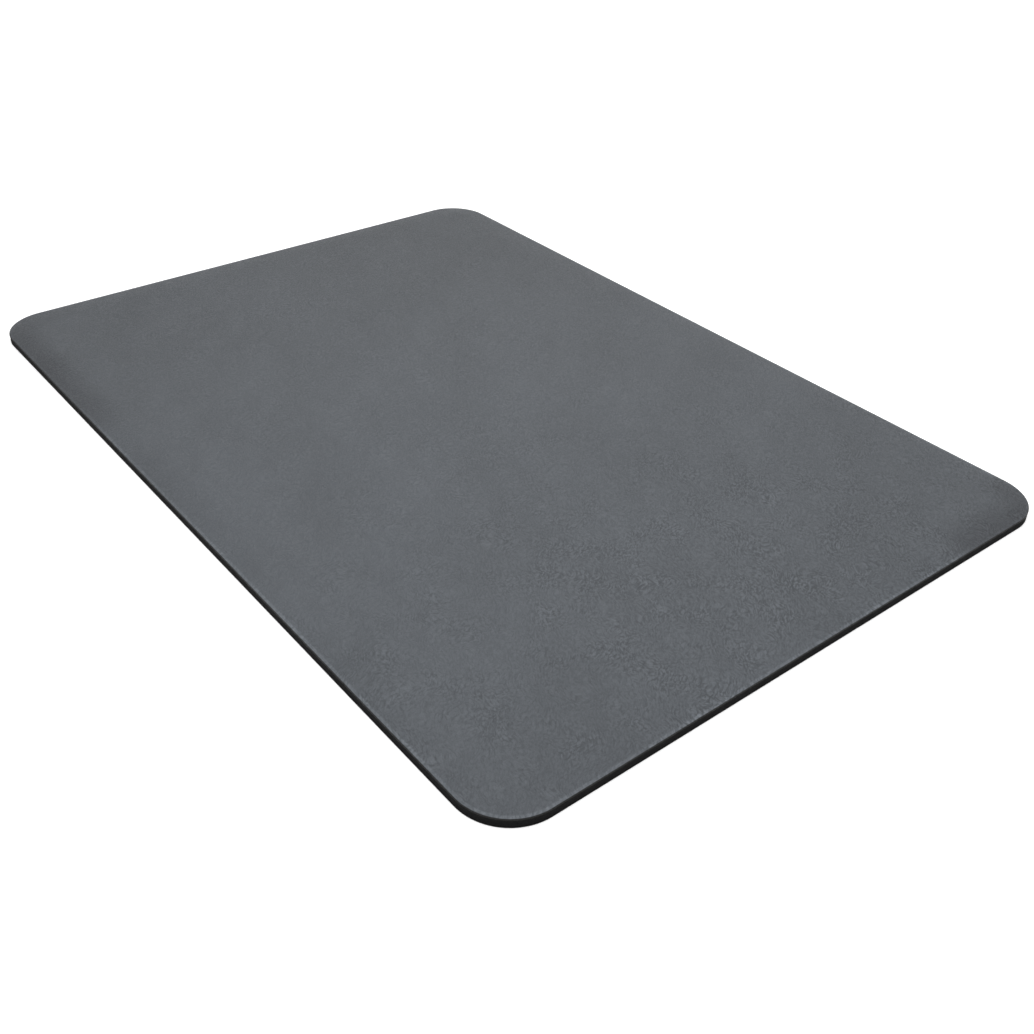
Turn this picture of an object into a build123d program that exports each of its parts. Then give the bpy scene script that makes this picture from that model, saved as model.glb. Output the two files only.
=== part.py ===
from build123d import *
import os

# Anti-fatigue standing mat: a rectangular cushioned mat with rounded corners, die-cut from a
# laminated sheet, so that all its layers end flush in one upright side. From the floor up the
# layers are a rubber grip base, an adhesive film, a closed-cell foam core, a second adhesive
# film, the knitted backing of the skin and the skin itself. The field is flat. A border along
# the whole outline rolls down a little to the rim, in one arc that is tangent to the field.
#
# Frame: millimetres, origin at the centre of the underside, +Z up, +X along the long side.

# Outline
mat_length = 850.0
mat_width = 600.0
corner_radius = 44.0

# Rolled border: how wide it is, and how far the rim lies below the field
border_width = 30.0
border_drop = 1.5

# Layer thicknesses at the rim, from the floor up
grip_base_thickness = 1.5
adhesive_film_thickness = 0.1
foam_rim_thickness = 5.3
knit_backing_thickness = 0.4
wear_skin_thickness = 0.6

# Rounding of the skin's upper outer edge
rim_edge_radius = 0.4

# Distances from the mat's centre to the corner centres
corner_x = mat_length / 2 - corner_radius
corner_y = mat_width / 2 - corner_radius

# Heights at the rim, from the floor up
grip_base_top = grip_base_thickness
lower_film_top = grip_base_top + adhesive_film_thickness
foam_rim_top = lower_film_top + foam_rim_thickness
upper_film_rim_top = foam_rim_top + adhesive_film_thickness
knit_rim_top = upper_film_rim_top + knit_backing_thickness
skin_rim_top = knit_rim_top + wear_skin_thickness


def flat_slab(bottom, top, inset=0.0):
    """The mat's outline, moved inwards by inset, between two level heights."""
    outline = RectangleRounded(
        mat_length - 2 * inset, mat_width - 2 * inset, corner_radius - inset
    )
    return extrude(Pos(0, 0, bottom) * outline, amount=top - bottom)


def border_section(bottom, top, crowned_bottom, edge_radius):
    """One layer's section across the border, upright, with a corner's centre at the origin.

    bottom and top are the layer's heights at the rim. Its upper face always follows the
    border's arc. Its lower face does so too if crowned_bottom is true, and is level if not.
    """
    inner = corner_radius - border_width
    outer = corner_radius
    inner_top = top + border_drop
    inner_bottom = bottom + border_drop if crowned_bottom else bottom
    upper_edge = TangentArc((inner, inner_top), (outer, top), tangent=(1, 0))
    if crowned_bottom:
        lower_edge = TangentArc((inner, inner_bottom), (outer, bottom), tangent=(1, 0))
    else:
        lower_edge = Line((inner, inner_bottom), (outer, bottom))
    inner_side = Line((inner, inner_bottom), (inner, inner_top))
    outer_side = Line((outer, bottom), (outer, top))
    section = make_face([upper_edge, outer_side, lower_edge, inner_side])
    if edge_radius > 0:
        rim_corner = section.vertices().sort_by_distance((outer, top, 0))[0]
        section = fillet(rim_corner, edge_radius)
    return Plane.XZ * section


def crowned_layer(bottom, top, crowned_bottom=True, edge_radius=0.0):
    """A layer that follows the rolled border: a level field, four side bars, four corners."""
    section = border_section(bottom, top, crowned_bottom, edge_radius)
    field_bottom = bottom + border_drop if crowned_bottom else bottom
    pieces = [flat_slab(field_bottom, top + border_drop, inset=border_width)]
    half_runs = ((corner_x, corner_y), (corner_y, corner_x))
    for side in range(4):
        outwards, along = half_runs[side % 2]
        turn = Rot(0, 0, 90 * side)
        pieces.append(turn * Pos(outwards, 0, 0) * extrude(section, along, both=True))
        pieces.append(turn * Pos(outwards, along, 0) * revolve(section, Axis.Z, 90))
    return Part() + pieces


def grip_base():
    """Solid rubber sheet that lies on the floor and keeps the mat from sliding."""
    return flat_slab(0, grip_base_top)


def lower_adhesive_film():
    """Hot-melt film that holds the foam to the grip base."""
    return flat_slab(grip_base_top, lower_film_top)


def foam_core():
    """Closed-cell foam cushion. It is level below, and its top gives the mat its shape."""
    return crowned_layer(lower_film_top, foam_rim_top, crowned_bottom=False)


def upper_adhesive_film():
    """Hot-melt film that holds the skin's knitted backing to the foam."""
    return crowned_layer(foam_rim_top, upper_film_rim_top)


def knit_backing():
    """Knitted polyester cloth that carries the skin and keeps it from stretching."""
    return crowned_layer(upper_film_rim_top, knit_rim_top)


def wear_skin():
    """Leather-grained skin that is stood on, with its upper outer edge rounded."""
    return crowned_layer(knit_rim_top, skin_rim_top, edge_radius=rim_edge_radius)


nodes = {
    "grip_base": grip_base(),
    "lower_adhesive_film": lower_adhesive_film(),
    "foam_core": foam_core(),
    "upper_adhesive_film": upper_adhesive_film(),
    "knit_backing": knit_backing(),
    "wear_skin": wear_skin(),
}

os.makedirs("parts", exist_ok=True)
for name, solid in nodes.items():
    solid.label = name
    export_step(solid, f"parts/{name}.step")
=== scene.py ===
"""An anti-fatigue standing mat: the looks of its six bonded layers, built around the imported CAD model."""

import math

import bpy
import numpy as np
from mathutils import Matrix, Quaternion, Vector


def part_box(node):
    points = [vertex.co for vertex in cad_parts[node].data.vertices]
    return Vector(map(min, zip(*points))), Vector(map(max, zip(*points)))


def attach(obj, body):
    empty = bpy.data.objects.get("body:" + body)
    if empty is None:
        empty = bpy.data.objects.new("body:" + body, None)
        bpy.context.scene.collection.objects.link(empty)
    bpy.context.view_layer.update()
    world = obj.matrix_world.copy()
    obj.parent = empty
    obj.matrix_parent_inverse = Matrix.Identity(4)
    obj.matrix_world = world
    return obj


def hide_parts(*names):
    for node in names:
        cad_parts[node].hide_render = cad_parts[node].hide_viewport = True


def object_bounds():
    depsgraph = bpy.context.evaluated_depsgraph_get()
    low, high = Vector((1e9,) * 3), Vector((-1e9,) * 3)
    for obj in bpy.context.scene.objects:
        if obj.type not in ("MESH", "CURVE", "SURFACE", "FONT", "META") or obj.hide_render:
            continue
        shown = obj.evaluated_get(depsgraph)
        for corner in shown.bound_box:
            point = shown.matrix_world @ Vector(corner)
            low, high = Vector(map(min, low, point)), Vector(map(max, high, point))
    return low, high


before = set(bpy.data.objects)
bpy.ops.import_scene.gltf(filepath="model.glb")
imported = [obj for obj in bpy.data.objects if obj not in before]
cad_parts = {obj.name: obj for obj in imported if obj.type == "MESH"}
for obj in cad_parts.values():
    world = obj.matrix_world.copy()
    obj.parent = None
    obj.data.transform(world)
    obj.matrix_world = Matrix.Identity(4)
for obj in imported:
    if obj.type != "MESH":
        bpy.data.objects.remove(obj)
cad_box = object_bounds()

MM = 0.001

# ---------------------------------------------------------------- sizes, in metres

CORNER_RADIUS = 44 * MM
BORDER_WIDTH = 30 * MM
HALF_LENGTH = cad_box[1].x
HALF_WIDTH = cad_box[1].y
CORNER_X = HALF_LENGTH - CORNER_RADIUS
CORNER_Y = HALF_WIDTH - CORNER_RADIUS

# Heights at the rim, where every layer is lowest, and how far the field lies above the rim
BASE_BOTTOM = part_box("grip_base")[0].z
BASE_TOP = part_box("lower_adhesive_film")[0].z
FOAM_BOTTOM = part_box("foam_core")[0].z
FOAM_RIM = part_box("upper_adhesive_film")[0].z
KNIT_BOTTOM_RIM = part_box("knit_backing")[0].z
SKIN_BOTTOM_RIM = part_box("wear_skin")[0].z
CROWN_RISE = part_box("knit_backing")[1].z - SKIN_BOTTOM_RIM
SKIN_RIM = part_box("wear_skin")[1].z - CROWN_RISE

# The border's arc, tangent to the field
CROWN_RADIUS = (BORDER_WIDTH**2 + CROWN_RISE**2) / (2 * CROWN_RISE)

# Slow unevenness of the laminate
WAVE_HEIGHT = 0.05 * MM
WAVE_LENGTHS = (0.07, 0.16)
WAVE_COUNT = 14
WAVE_SEED = 11

# Small steps and rounds at the side
SKIN_EDGE_RADIUS = 0.4 * MM
BASE_EDGE_RADIUS = 0.3 * MM
KNIT_RECESS = 0.10 * MM
FILM_RECESS = 0.06 * MM
FOAM_WAIST = 0.25 * MM

# Wavy grip tread of the underside
TREAD_DEPTH = 0.5 * MM
TREAD_PITCH = 12 * MM
TREAD_SWAY = 7 * MM
TREAD_SWAY_PITCH = 64 * MM
TREAD_MARGIN = 10 * MM

# How finely the layers' faces, borders, corners and sides are divided
FINE_CELL = 4 * MM
COARSE_CELL = 10 * MM
TREAD_CELL_ALONG = 2 * MM
TREAD_CELL_ACROSS = 8 * MM
BORDER_INSETS = [inset * MM for inset in (41, 37, 33, 30, 27, 24, 21, 18, 15, 12, 9, 6, 4, 2, 1)]
CORNER_STEPS = 24
EDGE_STEPS = 5
FOAM_SIDE_STEPS = 10

# Where two faces turn by more than this, the edge between them stays sharp
SHARP_ANGLE = math.radians(40)

# ---------------------------------------------------------------- looks
# Colours are linear light. A scale of noise or cells is roughly their number in a metre.
# A pair of numbers is the two ends of a range.

# Most of a noise texture's values lie between these
NOISE_RANGE = (0.3, 0.7)

# The skin's grain: creases between cells and short streaks, both drawn out along a heading in degrees
GRAIN_SCALE = 380.0
STREAK_SCALE = 1.5 * GRAIN_SCALE
GRAIN_HEADING = 140.0
GRAIN_STRETCH = 2.0
GRAIN_DEPTH = 0.25 * MM
GRAIN_MEAN = 0.6
CREASE_WIDTH = 0.16
CREASE_SHARE = 0.35
SWIRL_SCALE = 32.0
SWIRL_AMOUNT = 26 * MM

# How strongly the grain shows: in patches, and by the place along X and the distance from Y = 0
STRENGTH_SCALE = 34.0
STRENGTH_NOISE = (0.40, 0.70)
STRENGTH = (0.35, 1.15)
ALONG_RANGE = (0.0, 0.40)
ALONG_STRENGTH = (0.34, 1.18)
ACROSS_RANGE = (0.05, 0.26)
ACROSS_STRENGTH = (1.15, 0.80)

# The fine pebbles over the grain
PEBBLE_SCALE = 900.0
PEBBLE_MEAN = 0.65
PEBBLE_CREASE_WIDTH = 0.14
PEBBLE_RELIEF = 0.35
PEBBLE_SHADE = 0.3

# The skin's colours, and the slow patches in which one or the other wins; across the grain the dark one is
# also painted shade in the creases, the light one a painted highlight on the raised parts
SKIN_DARK = (0.046, 0.051, 0.057, 1)
SKIN_LIGHT = (0.088, 0.097, 0.109, 1)
PATCH_SCALE = 13.0
PATCH_SHARE = (0.42, 0.58)
SKIN_SPECULAR = 0.22
SKIN_ROUGHNESS = (0.62, 0.50)

# Stretches of the border that are darker, which is painted shade: X, Y, inner and outer radius, and
# strength
SHADED_STRETCHES = (
    (-0.295, -0.300, 0.075, 0.165, 1.0),
    (-0.040, -0.300, 0.050, 0.120, 0.3),
    (0.420, 0.240, 0.045, 0.080, 0.9),
)
# How dark the painted border shade makes the skin, how it fades inwards, and how it varies in patches
BORDER_SHADE_TINT = (0.66, 0.65, 0.66, 1)
BORDER_SHADE_FADE = (5 * MM, 40 * MM)
BORDER_SHADE_IN_PATCHES = (1.0, 0.85)

# A painted highlight along the line just inside the side, and the skin's dark cut edge
RIM_HIGHLIGHT_TINT = (1.5, 1.5, 1.5, 1)
RIM_HIGHLIGHT_FADE = (2.2 * MM, 3.4 * MM)
RIM_HIGHLIGHT_IN_STREAKS = (0.4, 1.0)
RIM_HIGHLIGHT_IN_SHADE = 0.3
CUT_EDGE = (0.006, 0.006, 0.0064, 1)
CUT_EDGE_FADE = (0.35 * MM, 0.65 * MM)

# Cut foam
FOAM_DARK = (0.0048, 0.0048, 0.0050, 1)
FOAM_LIGHT = (0.0080, 0.0080, 0.0083, 1)
# Painted shade in the middle of an opened cell
FOAM_PIT_SHADE = (0.0022, 0.0022, 0.0022, 1)
FOAM_CELL_SCALE = 2400.0
FOAM_CELL_RANGE = (0.1, 0.6)
FOAM_GRIME_SCALE = 220.0
FOAM_PIT_DEPTH = 0.15 * MM
FOAM_SPECULAR = 0.055
FOAM_ROUGHNESS = (0.78, 0.92)

# Knitted cloth, whose loops lie 1.2 mm apart; its dark colour is painted shade where the relief is low
KNIT_DARK = (0.0045, 0.0045, 0.0047, 1)
KNIT_LIGHT = (0.0130, 0.0130, 0.0135, 1)
KNIT_SCALE = 260.0
KNIT_DISTORTION = 2.0
FIBRE_SCALE = 2600.0
FIBRE_RELIEF = 0.5
KNIT_DEPTH = 0.10 * MM
KNIT_SPECULAR = 0.085
KNIT_SHEEN = 0.035
KNIT_SHEEN_ROUGHNESS = 0.5
KNIT_ROUGHNESS = (0.85, 0.97)

# Hot-melt film
FILM_DARK = (0.022, 0.0205, 0.018, 1)
FILM_LIGHT = (0.044, 0.041, 0.035, 1)
FILM_FLOW_SCALE = 150.0
BUBBLE_SCALE = 700.0
BUBBLE_RANGE = (0.1, 0.5)
BUBBLE_DEPTH = 0.03 * MM
FILM_SPECULAR = 0.36
FILM_ROUGHNESS = (0.30, 0.45)

# Grip rubber
RUBBER_DARK = (0.0016, 0.0016, 0.0017, 1)
RUBBER_BLOOM = (0.0033, 0.0033, 0.0034, 1)
RUBBER_GRAIN_SCALE = 1800.0
RUBBER_GRAIN_DEPTH = 0.05 * MM
BLOOM_SCALE = 25.0
BLOOM_NOISE = (0.35, 0.7)
RIB_DUST = (0.015, 0.015, 0.0154, 1)
RIB_CREST = 0.6 * TREAD_DEPTH
DUST_IN_BLOOM = (0.3, 1.0)
RUBBER_SPECULAR = 0.055
RUBBER_ROUGHNESS = (0.68, 0.82)

# ---------------------------------------------------------------- studio values
# Lengths are in metres, angles in degrees and powers in watts.

WHITE = (1, 1, 1, 1)

# The floor is a lit table, so that it stays white
FLOOR_SIZE = 200.0
FLOOR_GAP = 0.05 * MM
FLOOR_COLOUR = (0.93, 0.93, 0.93, 1)
FLOOR_GLOW = 0.38
FLOOR_SPECULAR = 0.1
FLOOR_ROUGHNESS = 0.9

WORLD_STRENGTH = 1.0

BACK_AZIMUTH = 230
BACK_ELEVATION = 22
BACK_DISTANCE = 6.0
BACK_WIDTH = 5.0
BACK_HEIGHT = 4.0
BACK_POWER = 36.0

POOL_PLACE = (0.17, -0.12, 1.5)
POOL_ANGLE = 54
POOL_RADIUS = 0.25
POOL_POWER = 46.5

CAMERA_AIM = (0.1691, -0.0805, SKIN_RIM)
CAMERA_AZIMUTH = 50.34
CAMERA_ELEVATION = 35.42
CAMERA_ROLL = 1.855
CAMERA_DISTANCE = 0.9955
CAMERA_NEAREST = 0.01
CAMERA_FARTHEST = 500.0

# Focal length and sensor width, in millimetres
CAMERA_LENS = 41.92
CAMERA_SENSOR = 36.0


# ---------------------------------------------------------------- surfaces

def crown(inset):
    """How far the border's arc stands above the rim at an inset from the side."""
    run = np.maximum(BORDER_WIDTH - inset, 0)
    return CROWN_RISE - (CROWN_RADIUS - np.sqrt(CROWN_RADIUS**2 - run**2))


def wave_set():
    """Directions, wave numbers and phases of the slow unevenness, the same on every run."""
    rng = np.random.default_rng(WAVE_SEED)
    heading = rng.uniform(0, math.pi, WAVE_COUNT)
    number = 2 * math.pi / rng.uniform(*WAVE_LENGTHS, WAVE_COUNT)
    phase = rng.uniform(0, 2 * math.pi, WAVE_COUNT)
    return heading, number, phase


WAVES = wave_set()


def unevenness(x, y, inset):
    """Slow waves of the laminate, which die out at the rim so that the side stays straight."""
    total = np.zeros_like(x)
    for heading, number, phase in zip(*WAVES):
        total += np.cos(number * (x * math.cos(heading) + y * math.sin(heading)) + phase)
    fade = np.clip(inset / BORDER_WIDTH, 0, 1)
    return -WAVE_HEIGHT * (1 - total / math.sqrt(WAVE_COUNT)) * fade


def crowned(rim_height):
    """A surface that follows the rolled border, at the given height at the rim."""
    return lambda x, y, inset: rim_height + crown(inset) + unevenness(x, y, inset)


def level(height):
    """A flat surface."""
    return lambda x, y, inset: np.full_like(x, height)


def treaded(height):
    """The underside: wavy ribs that run across the mat, inside a flat margin."""
    def surface(x, y, inset):
        sway = TREAD_SWAY * np.sin(2 * math.pi * y / TREAD_SWAY_PITCH)
        groove = 0.5 - 0.5 * np.cos(2 * math.pi * (x + sway) / TREAD_PITCH)
        groove = groove * groove * (3 - 2 * groove)
        inside = np.clip((inset - TREAD_MARGIN) / TREAD_MARGIN, 0, 1)
        return height + TREAD_DEPTH * groove * inside
    return surface


# ---------------------------------------------------------------- meshes

def ring(inset, columns, rows):
    """The outline at an inset from the side, counter-clockwise from the right side's lower end."""
    radius = CORNER_RADIUS - inset
    angles = np.linspace(0, math.pi / 2, CORNER_STEPS + 1)[1:-1]
    points = []
    for side in range(4):
        out, half, count = ((CORNER_X, CORNER_Y, rows), (CORNER_Y, CORNER_X, columns))[side % 2]
        along = np.linspace(-half, half, count + 1)
        local_x = np.concatenate([np.full(count + 1, out + radius), out + radius * np.cos(angles)])
        local_y = np.concatenate([along, half + radius * np.sin(angles)])
        turn = side * math.pi / 2
        cos, sin = round(math.cos(turn)), round(math.sin(turn))
        points.append(np.stack([local_x * cos - local_y * sin, local_x * sin + local_y * cos], 1))
    return np.concatenate(points)


def grid_border(columns, rows):
    """For each point of a ring, the number of the field grid's vertex that it joins."""
    def vertex(column, row):
        return row * (columns + 1) + column
    corner = range(CORNER_STEPS - 1)
    order = [vertex(columns, row) for row in range(rows + 1)]
    order += [vertex(columns, rows) for _ in corner]
    order += [vertex(column, rows) for column in range(columns, -1, -1)]
    order += [vertex(0, rows) for _ in corner]
    order += [vertex(0, row) for row in range(rows, -1, -1)]
    order += [vertex(0, 0) for _ in corner]
    order += [vertex(column, 0) for column in range(columns + 1)]
    order += [vertex(columns, 0) for _ in corner]
    return order


def field_grid(columns, rows, surface, first, upwards):
    """Vertices and faces of the rectangle between the corner centres."""
    x, y = np.meshgrid(
        np.linspace(-CORNER_X, CORNER_X, columns + 1), np.linspace(-CORNER_Y, CORNER_Y, rows + 1)
    )
    x, y = x.ravel(), y.ravel()
    z = surface(x, y, np.full_like(x, CORNER_RADIUS))
    faces = []
    for row in range(rows):
        for column in range(columns):
            a = first + row * (columns + 1) + column
            face = (a, a + 1, a + columns + 2, a + columns + 1)
            faces.append(face if upwards else face[::-1])
    return np.stack([x, y, z], 1), faces


def surface_ring(surface, inset, columns, rows):
    """The vertices of a ring on a surface."""
    points = ring(inset, columns, rows)
    height = surface(points[:, 0], points[:, 1], np.full(len(points), inset))
    return np.column_stack([points, height])


def closed_layer(name, top, bottom, side, cell_x, cell_y):
    """One layer as a closed mesh: top field, top border, side, bottom border, bottom field.

    side is a list of (inset, height) from the top's outer edge down to the bottom's.
    """
    columns = round(2 * CORNER_X / cell_x)
    rows = round(2 * CORNER_Y / cell_y)
    loops = [surface_ring(top, inset, columns, rows) for inset in BORDER_INSETS]
    loops += [surface_ring(level(height), inset, columns, rows) for inset, height in side]
    loops += [surface_ring(bottom, inset, columns, rows) for inset in reversed(BORDER_INSETS)]
    top_vertices, faces = field_grid(columns, rows, top, 0, upwards=True)
    first_loop = len(top_vertices)
    count = len(loops[0])
    bottom_first = first_loop + count * len(loops)
    bottom_vertices, bottom_faces = field_grid(columns, rows, bottom, bottom_first, upwards=False)
    faces += bottom_faces
    border = grid_border(columns, rows)
    strips = [border]
    strips += [[first_loop + k * count + i for i in range(count)] for k in range(len(loops))]
    strips += [[bottom_first + i for i in border]]
    for inner, outer in zip(strips, strips[1:]):
        for i in range(count):
            j = (i + 1) % count
            # At a corner two of the four are the same vertex of the field, and the face is a triangle
            face = dict.fromkeys((inner[i], outer[i], outer[j], inner[j]))
            faces.append(tuple(face))
    mesh = bpy.data.meshes.new(name)
    vertices = np.concatenate([top_vertices, *loops, bottom_vertices])
    mesh.from_pydata(vertices.tolist(), [], faces)
    mesh.validate()
    mesh.polygons.foreach_set("use_smooth", [True] * len(mesh.polygons))
    mesh.update()
    mesh.set_sharp_from_angle(angle=SHARP_ANGLE)
    piece = bpy.data.objects.new(name, mesh)
    bpy.context.scene.collection.objects.link(piece)
    return piece


def rounded_edge(radius, height, upwards):
    """Side points of a quarter round between the side and a face at the given height."""
    points = []
    for step in range(EDGE_STEPS + 1):
        angle = math.pi / 2 * step / EDGE_STEPS
        drop = radius * (1 - math.cos(angle))
        inset = radius * (1 - math.sin(angle))
        points.append((inset, height - drop if upwards else height + drop))
    return points if upwards else points[::-1]


# ---------------------------------------------------------------- material helpers

def new_material(name, **inputs):
    """A material whose Principled shader has these plain values, and that shader."""
    material = bpy.data.materials.new(name)
    material.use_nodes = True
    shader = material.node_tree.nodes["Principled BSDF"]
    for socket, value in inputs.items():
        shader.inputs[socket.replace("_", " ")].default_value = value
    return material, shader


def add(tree, kind, settings=None, **inputs):
    """A new node. An input's value is a plain value or another node's output."""
    made = tree.nodes.new("ShaderNode" + kind)
    for name, value in (settings or {}).items():
        setattr(made, name, value)
    for name, value in inputs.items():
        socket = made.inputs[int(name[1:]) if name[1:].isdigit() else name.replace("_", " ")]
        if isinstance(value, bpy.types.NodeSocket):
            tree.links.new(value, socket)
        else:
            socket.default_value = value
    return made


def noise(tree, position, scale, detail, roughness=0.5):
    """Fractal noise, from 0 to 1."""
    made = add(tree, "TexNoise", Vector=position, Scale=scale, Detail=detail, Roughness=roughness)
    return made.outputs["Fac"]


def cells(tree, position, scale, feature="F1"):
    """The distance from the nearest cell's centre, or with DISTANCE_TO_EDGE from its edge."""
    made = add(tree, "TexVoronoi", {"feature": feature}, Vector=position, Scale=scale)
    return made.outputs["Distance"]


def bands(tree, position, direction):
    """Rows of the knit's loops, side by side along X or Y."""
    made = add(
        tree, "TexWave", {"bands_direction": direction},
        Vector=position, Scale=KNIT_SCALE, Distortion=KNIT_DISTORTION,
    )
    return made.outputs["Fac"]


def warped(tree, position, scale, amount):
    """The position, pushed about by noise of the given scale, by up to about half the amount."""
    push = add(tree, "TexNoise", Vector=position, Scale=scale, Detail=2.0).outputs["Color"]
    middle = (0.5, 0.5, 0.5)
    centred = add(tree, "VectorMath", {"operation": "SUBTRACT"}, _0=push, _1=middle)
    shift = add(tree, "VectorMath", {"operation": "SCALE"}, _0=centred.outputs[0], Scale=amount)
    return add(tree, "VectorMath", {"operation": "ADD"}, _0=position, _1=shift.outputs[0]).outputs[0]


def stretched(tree, position, heading, length):
    """The position, so that a pattern is drawn out by a factor along a heading in degrees from +X."""
    node = add(tree, "Mapping", {"vector_type": "TEXTURE"}, Vector=position, Scale=(length, 1, 1))
    node.inputs["Rotation"].default_value = (0, 0, math.radians(heading))
    return node.outputs[0]


def ranged(tree, value, low, high, to_low, to_high):
    """A value mapped smoothly from one range to another."""
    node = add(tree, "MapRange", {"interpolation_type": "SMOOTHSTEP"}, Value=value)
    node.inputs["From Min"].default_value = low
    node.inputs["From Max"].default_value = high
    node.inputs["To Min"].default_value = to_low
    node.inputs["To Max"].default_value = to_high
    return node.outputs["Result"]


def combined(tree, operation, first, second):
    """Two values put through a Math node."""
    return add(tree, "Math", {"operation": operation}, _0=first, _1=second).outputs[0]


def plus(tree, first, second):
    """Two values added."""
    return combined(tree, "ADD", first, second)


def minus(tree, first, second):
    """The second value taken from the first."""
    return combined(tree, "SUBTRACT", first, second)


def times(tree, first, second):
    """Two values multiplied."""
    return combined(tree, "MULTIPLY", first, second)


def mixed_colour(tree, factor, first, second, blend="MIX"):
    """Two colours mixed."""
    node = add(tree, "Mix", {"data_type": "RGBA", "blend_type": blend})
    # Sockets 0, 6 and 7 are the factor and the two colours
    for socket, value in ((node.inputs[0], factor), (node.inputs[6], first), (node.inputs[7], second)):
        if isinstance(value, bpy.types.NodeSocket):
            tree.links.new(value, socket)
        else:
            socket.default_value = value
    return node.outputs[2]


def finish_material(material, shader, colour, roughness, height, bump):
    """Links the colour, the roughness and a bump of the given depth in metres."""
    tree = material.node_tree
    tree.links.new(colour, shader.inputs["Base Color"])
    tree.links.new(roughness, shader.inputs["Roughness"])
    relief = add(tree, "Bump", Height=height, Distance=bump, Strength=1.0)
    tree.links.new(relief.outputs["Normal"], shader.inputs["Normal"])
    return material


# ---------------------------------------------------------------- materials

def border_inset(tree, position):
    """How far a point lies inside the mat's outline, exact within the corner radius of the side."""
    folded = add(tree, "VectorMath", {"operation": "ABSOLUTE"}, _0=position).outputs[0]
    # The third number is above every height, so that a point's height doesn't count
    centre = (CORNER_X, CORNER_Y, 1)
    beyond = add(tree, "VectorMath", {"operation": "SUBTRACT"}, _0=folded, _1=centre).outputs[0]
    beyond = add(tree, "VectorMath", {"operation": "MAXIMUM"}, _0=beyond, _1=(0, 0, 0)).outputs[0]
    reach = add(tree, "VectorMath", {"operation": "LENGTH"}, _0=beyond).outputs["Value"]
    return minus(tree, CORNER_RADIUS, reach)


def shaded_border(tree, position, inset):
    """Painted shade on stretches of the border: 1 at the darkest places, 0 over most of the mat."""
    total = 0.0
    for x, y, inner, outer, strength in SHADED_STRETCHES:
        centre = (x, y, SKIN_RIM)
        away = add(tree, "VectorMath", {"operation": "DISTANCE"}, _0=position, _1=centre)
        total = plus(tree, total, ranged(tree, away.outputs["Value"], inner, outer, strength, 0.0))
    return times(tree, total, ranged(tree, inset, *BORDER_SHADE_FADE, 1.0, 0.0))


def grain_strength(tree, position):
    """How strongly the grain shows: in patches, more towards the +X end, less towards the long sides."""
    patches = noise(tree, position, STRENGTH_SCALE, detail=3.0, roughness=0.6)
    strength = ranged(tree, patches, *STRENGTH_NOISE, *STRENGTH)
    place_on_mat = add(tree, "SeparateXYZ", Vector=position).outputs
    along = ranged(tree, place_on_mat["X"], *ALONG_RANGE, *ALONG_STRENGTH)
    from_middle = combined(tree, "ABSOLUTE", place_on_mat["Y"], 0.0)
    across = ranged(tree, from_middle, *ACROSS_RANGE, *ACROSS_STRENGTH)
    return times(tree, times(tree, strength, along), across)


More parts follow.
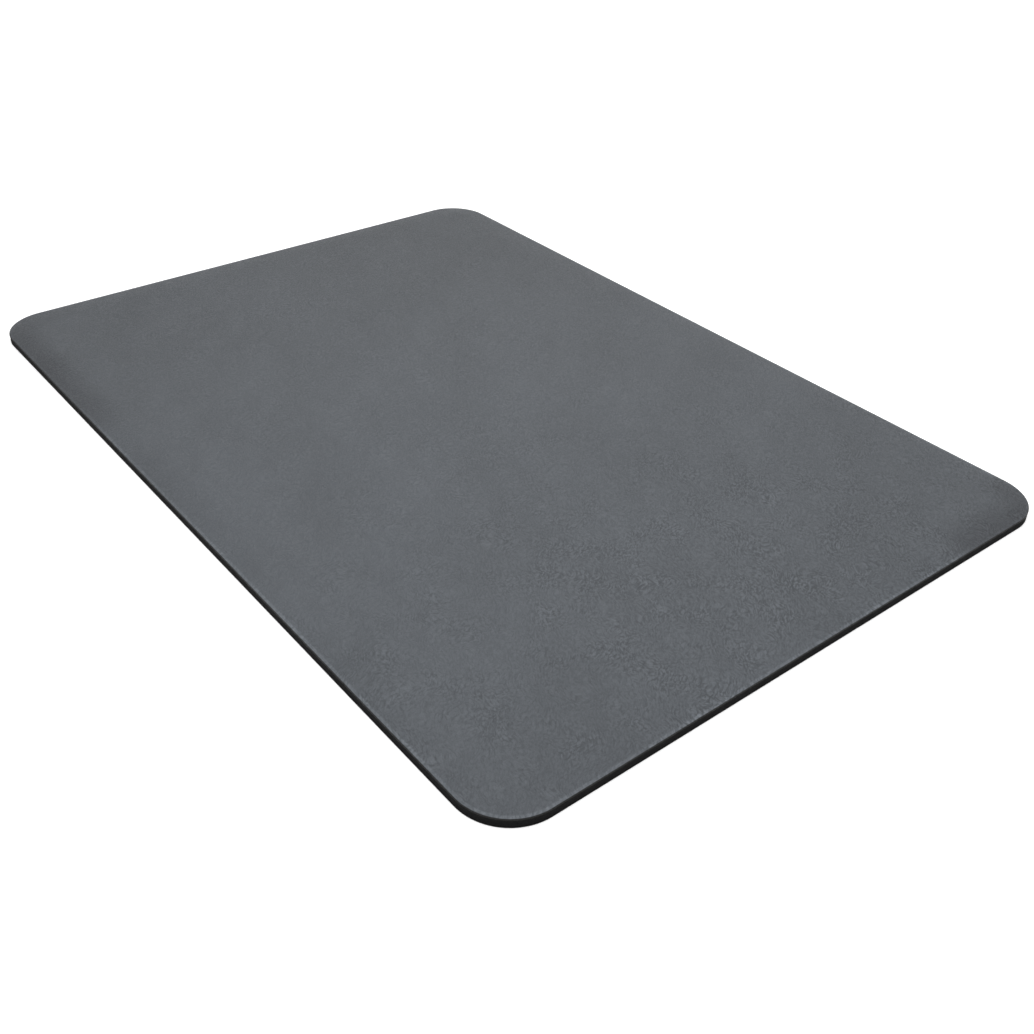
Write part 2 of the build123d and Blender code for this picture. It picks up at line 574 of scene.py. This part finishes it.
def leather_skin():
    """Dark grey leather-grained skin: creases, short streaks and fine pebbles, stronger in patches, with
    painted shade in the creases.
    """
    material, shader = new_material("leather_skin", Specular_IOR_Level=SKIN_SPECULAR)
    tree = material.node_tree
    position = add(tree, "TexCoord").outputs["Object"]

    # Relief: creases and streaks, and the pebbles over them
    swirled = warped(tree, position, SWIRL_SCALE, SWIRL_AMOUNT)
    drawn_out = stretched(tree, swirled, GRAIN_HEADING, GRAIN_STRETCH)
    edges = cells(tree, drawn_out, GRAIN_SCALE, "DISTANCE_TO_EDGE")
    streaks = noise(tree, drawn_out, STREAK_SCALE, detail=1.0)
    crease = ranged(tree, edges, 0.0, CREASE_WIDTH, 0.0, 1.0)
    streak = ranged(tree, streaks, *NOISE_RANGE, 0.0, 1.0)
    grain = plus(tree, times(tree, crease, CREASE_SHARE), times(tree, streak, 1 - CREASE_SHARE))
    pebble_edges = cells(tree, swirled, PEBBLE_SCALE, "DISTANCE_TO_EDGE")
    pebble = ranged(tree, pebble_edges, 0.0, PEBBLE_CREASE_WIDTH, 0.0, 1.0)
    relief = plus(tree, grain, times(tree, pebble, PEBBLE_RELIEF))

    # Colour: slow patches of tone, with painted shade in the creases and a painted highlight on the raised
    # grain and pebbles
    unswirled = stretched(tree, position, GRAIN_HEADING, GRAIN_STRETCH)
    patches = noise(tree, unswirled, PATCH_SCALE, detail=3.0)
    grain_shading = times(tree, minus(tree, grain, GRAIN_MEAN), grain_strength(tree, position))
    share = plus(tree, grain_shading, ranged(tree, patches, *NOISE_RANGE, *PATCH_SHARE))
    share = plus(tree, share, times(tree, minus(tree, pebble, PEBBLE_MEAN), PEBBLE_SHADE))
    colour = mixed_colour(tree, share, SKIN_DARK, SKIN_LIGHT)

    # Painted shade on stretches of the border, a painted highlight along the line just inside the side, and
    # the dark cut edge
    inset = border_inset(tree, position)
    # Painted shade: the border made darker at a few stretches
    border_shade = shaded_border(tree, position, inset)
    border_shade = times(tree, border_shade, ranged(tree, patches, *NOISE_RANGE, *BORDER_SHADE_IN_PATCHES))
    colour = mixed_colour(tree, border_shade, colour, BORDER_SHADE_TINT, "MULTIPLY")
    # Painted highlight: the line just inside the side made paler, less so where the border has painted
    # shade
    rim_highlight = ranged(tree, inset, *RIM_HIGHLIGHT_FADE, 1.0, 0.0)
    rim_highlight = times(tree, rim_highlight, ranged(tree, streaks, *NOISE_RANGE, *RIM_HIGHLIGHT_IN_STREAKS))
    rim_highlight = times(tree, rim_highlight, ranged(tree, border_shade, 0.0, 1.0, 1.0, RIM_HIGHLIGHT_IN_SHADE))
    colour = mixed_colour(tree, rim_highlight, colour, RIM_HIGHLIGHT_TINT, "MULTIPLY")
    cut = ranged(tree, inset, *CUT_EDGE_FADE, 1.0, 0.0)
    colour = mixed_colour(tree, cut, colour, CUT_EDGE)
    roughness = ranged(tree, grain, 0.0, 1.0, *SKIN_ROUGHNESS)
    return finish_material(material, shader, colour, roughness, relief, GRAIN_DEPTH)


def cut_foam():
    """Black closed-cell foam: its die-cut side shows opened cells, with painted shade in them."""
    material, shader = new_material("cut_foam", Specular_IOR_Level=FOAM_SPECULAR)
    tree = material.node_tree
    position = add(tree, "TexCoord").outputs["Object"]
    # 0 in the middle of an opened cell, and 1 on the foam between the cells
    wall = ranged(tree, cells(tree, position, FOAM_CELL_SCALE), *FOAM_CELL_RANGE, 0.0, 1.0)
    grime = noise(tree, position, FOAM_GRIME_SCALE, detail=4.0)
    ground = mixed_colour(tree, grime, FOAM_DARK, FOAM_LIGHT)
    # Painted shade: the opened cells darker towards their middles
    colour = mixed_colour(tree, wall, FOAM_PIT_SHADE, ground)
    roughness = ranged(tree, grime, *NOISE_RANGE, *FOAM_ROUGHNESS)
    return finish_material(material, shader, colour, roughness, wall, FOAM_PIT_DEPTH)


def knit_cloth():
    """Black knitted cloth: fine wales, seen end on at the side, with painted shade between the loops."""
    material, shader = new_material(
        "knit_cloth",
        Specular_IOR_Level=KNIT_SPECULAR,
        Sheen_Weight=KNIT_SHEEN,
        Sheen_Roughness=KNIT_SHEEN_ROUGHNESS,
    )
    tree = material.node_tree
    position = add(tree, "TexCoord").outputs["Object"]
    loops = times(tree, bands(tree, position, "X"), bands(tree, position, "Y"))
    fibres = noise(tree, position, FIBRE_SCALE, detail=3.0)
    relief = plus(tree, loops, times(tree, fibres, FIBRE_RELIEF))
    # Painted shade: the colour darker where the loops and fibres are low, lighter where they are raised
    colour = mixed_colour(tree, relief, KNIT_DARK, KNIT_LIGHT)
    roughness = ranged(tree, fibres, *NOISE_RANGE, *KNIT_ROUGHNESS)
    return finish_material(material, shader, colour, roughness, relief, KNIT_DEPTH)


def hot_melt_film():
    """Smoke-coloured hot-melt adhesive with small bubbles."""
    material, shader = new_material("hot_melt_film", Specular_IOR_Level=FILM_SPECULAR)
    tree = material.node_tree
    position = add(tree, "TexCoord").outputs["Object"]
    flow = noise(tree, position, FILM_FLOW_SCALE, detail=3.0)
    colour = mixed_colour(tree, flow, FILM_DARK, FILM_LIGHT)
    roughness = ranged(tree, flow, *NOISE_RANGE, *FILM_ROUGHNESS)
    relief = ranged(tree, cells(tree, position, BUBBLE_SCALE), *BUBBLE_RANGE, 0.0, 1.0)
    return finish_material(material, shader, colour, roughness, relief, BUBBLE_DEPTH)


def grip_rubber():
    """Black moulded rubber with a matt grain and a faint bloom, dusty where its ribs touch the floor."""
    material, shader = new_material("grip_rubber", Specular_IOR_Level=RUBBER_SPECULAR)
    tree = material.node_tree
    position = add(tree, "TexCoord").outputs["Object"]
    grain = noise(tree, position, RUBBER_GRAIN_SCALE, detail=4.0)
    bloom = noise(tree, position, BLOOM_SCALE, detail=5.0)
    bloomed = ranged(tree, bloom, *BLOOM_NOISE, 0.0, 1.0)
    colour = mixed_colour(tree, bloomed, RUBBER_DARK, RUBBER_BLOOM)
    height = add(tree, "SeparateXYZ", Vector=position).outputs["Z"]
    inset = border_inset(tree, position)
    ribbed = ranged(tree, inset, TREAD_MARGIN, 2 * TREAD_MARGIN, 0.0, 1.0)
    crest = times(tree, ranged(tree, height, 0.0, RIB_CREST, 1.0, 0.0), ribbed)
    dust = times(tree, crest, ranged(tree, bloom, *NOISE_RANGE, *DUST_IN_BLOOM))
    colour = mixed_colour(tree, dust, colour, RIB_DUST)
    roughness = ranged(tree, grain, *NOISE_RANGE, *RUBBER_ROUGHNESS)
    return finish_material(material, shader, colour, roughness, grain, RUBBER_GRAIN_DEPTH)


def pale_floor():
    """White studio floor."""
    return new_material(
        "pale_floor",
        Base_Color=FLOOR_COLOUR,
        Roughness=FLOOR_ROUGHNESS,
        Specular_IOR_Level=FLOOR_SPECULAR,
        Emission_Color=WHITE,
        Emission_Strength=FLOOR_GLOW,
    )[0]


# ---------------------------------------------------------------- pieces

def place(piece, node, material):
    """A finished piece stands for its CAD node and moves with it."""
    piece.data.materials.append(material)
    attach(piece, "root")
    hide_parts(node)


def grip_sheet():
    """The rubber base, its lower edge rounded and its underside ribbed."""
    side = [(0, BASE_TOP)] + rounded_edge(BASE_EDGE_RADIUS, BASE_BOTTOM, upwards=False)
    piece = closed_layer(
        "grip_sheet", level(BASE_TOP), treaded(BASE_BOTTOM), side, TREAD_CELL_ALONG, TREAD_CELL_ACROSS
    )
    place(piece, "grip_base", grip_rubber())


def lower_film(material):
    """The flat film between the base and the foam."""
    side = [(FILM_RECESS, FOAM_BOTTOM), (FILM_RECESS, BASE_TOP)]
    piece = closed_layer(
        "lower_film", level(FOAM_BOTTOM), level(BASE_TOP), side, COARSE_CELL, COARSE_CELL
    )
    place(piece, "lower_adhesive_film", material)


def foam_pad():
    """The foam, whose cut side is drawn in a little between its faces."""
    side = []
    for step in range(FOAM_SIDE_STEPS + 1):
        share = step / FOAM_SIDE_STEPS
        waist = FOAM_WAIST * 4 * share * (1 - share)
        side.append((waist, FOAM_RIM + (FOAM_BOTTOM - FOAM_RIM) * share))
    piece = closed_layer(
        "foam_pad", crowned(FOAM_RIM), level(FOAM_BOTTOM), side, COARSE_CELL, COARSE_CELL
    )
    place(piece, "foam_core", cut_foam())


def upper_film(material):
    """The film between the foam and the knit, which follows the rolled border."""
    side = [(FILM_RECESS, KNIT_BOTTOM_RIM), (FILM_RECESS, FOAM_RIM)]
    piece = closed_layer(
        "upper_film", crowned(KNIT_BOTTOM_RIM), crowned(FOAM_RIM), side, COARSE_CELL, COARSE_CELL
    )
    place(piece, "upper_adhesive_film", material)


def knit_sheet():
    """The skin's knitted backing, its edge a little recessed."""
    side = [(KNIT_RECESS, SKIN_BOTTOM_RIM), (KNIT_RECESS, KNIT_BOTTOM_RIM)]
    top, bottom = crowned(SKIN_BOTTOM_RIM), crowned(KNIT_BOTTOM_RIM)
    piece = closed_layer("knit_sheet", top, bottom, side, COARSE_CELL, COARSE_CELL)
    place(piece, "knit_backing", knit_cloth())


def skin_sheet():
    """The grained skin, its upper edge rounded."""
    side = rounded_edge(SKIN_EDGE_RADIUS, SKIN_RIM, upwards=True) + [(0, SKIN_BOTTOM_RIM)]
    piece = closed_layer(
        "skin_sheet", crowned(SKIN_RIM), crowned(SKIN_BOTTOM_RIM), side, FINE_CELL, FINE_CELL
    )
    place(piece, "wear_skin", leather_skin())


# ---------------------------------------------------------------- studio

def floor():
    """The table that the mat lies on, just below it."""
    bpy.ops.mesh.primitive_plane_add(size=FLOOR_SIZE, location=(0, 0, BASE_BOTTOM - FLOOR_GAP))
    plane = bpy.context.object
    plane.name = "studio_floor"
    plane.data.materials.append(pale_floor())


def direction(azimuth, elevation):
    """From the mat outwards, at angles in degrees. Azimuth 0 is -Y and 90 is +X."""
    a, e = math.radians(azimuth), math.radians(elevation)
    return Vector((math.sin(a) * math.cos(e), -math.cos(a) * math.cos(e), math.sin(e)))


def back_softbox():
    """A large softbox behind the mat, which faces the mat's centre."""
    back = direction(BACK_AZIMUTH, BACK_ELEVATION)
    data = bpy.data.lights.new("back_softbox", "AREA")
    data.shape = "RECTANGLE"
    data.size = BACK_WIDTH
    data.size_y = BACK_HEIGHT
    data.energy = BACK_POWER
    light = bpy.data.objects.new("back_softbox", data)
    light.location = back * BACK_DISTANCE
    light.rotation_mode = "QUATERNION"
    light.rotation_quaternion = back.to_track_quat("Z", "Y")
    light.visible_camera = False
    bpy.context.scene.collection.objects.link(light)


def pool_light():
    """A soft round lamp high over the mat, whose light fades towards the mat's corners."""
    data = bpy.data.lights.new("pool_lamp", "SPOT")
    data.energy = POOL_POWER
    data.spot_size = math.radians(POOL_ANGLE)
    data.spot_blend = 1.0
    data.shadow_soft_size = POOL_RADIUS
    light = bpy.data.objects.new("pool_lamp", data)
    light.location = POOL_PLACE
    light.visible_camera = False
    bpy.context.scene.collection.objects.link(light)


def studio_light():
    """A white surround and two lamps."""
    world = bpy.data.worlds.new("studio")
    world.use_nodes = True
    background = world.node_tree.nodes["Background"]
    background.inputs["Color"].default_value = WHITE
    background.inputs["Strength"].default_value = WORLD_STRENGTH
    bpy.context.scene.world = world
    back_softbox()
    pool_light()
    bpy.context.scene.view_settings.view_transform = "Standard"


def camera():
    """The photograph's view: over the near corner, turned by a small roll."""
    back = direction(CAMERA_AZIMUTH, CAMERA_ELEVATION)
    roll = Quaternion((0, 0, 1), math.radians(CAMERA_ROLL))
    data = bpy.data.cameras.new("camera")
    data.lens = CAMERA_LENS
    data.sensor_width = CAMERA_SENSOR
    data.clip_start = CAMERA_NEAREST
    data.clip_end = CAMERA_FARTHEST
    made = bpy.data.objects.new("camera", data)
    made.location = Vector(CAMERA_AIM) + back * CAMERA_DISTANCE
    made.rotation_mode = "QUATERNION"
    made.rotation_quaternion = back.to_track_quat("Z", "Y") @ roll
    bpy.context.scene.collection.objects.link(made)
    bpy.context.scene.camera = made


camera()
floor()
studio_light()
film_material = hot_melt_film()
grip_sheet()
lower_film(film_material)
foam_pad()
upper_film(film_material)
knit_sheet()
skin_sheet()

bpy.context.view_layer.update()
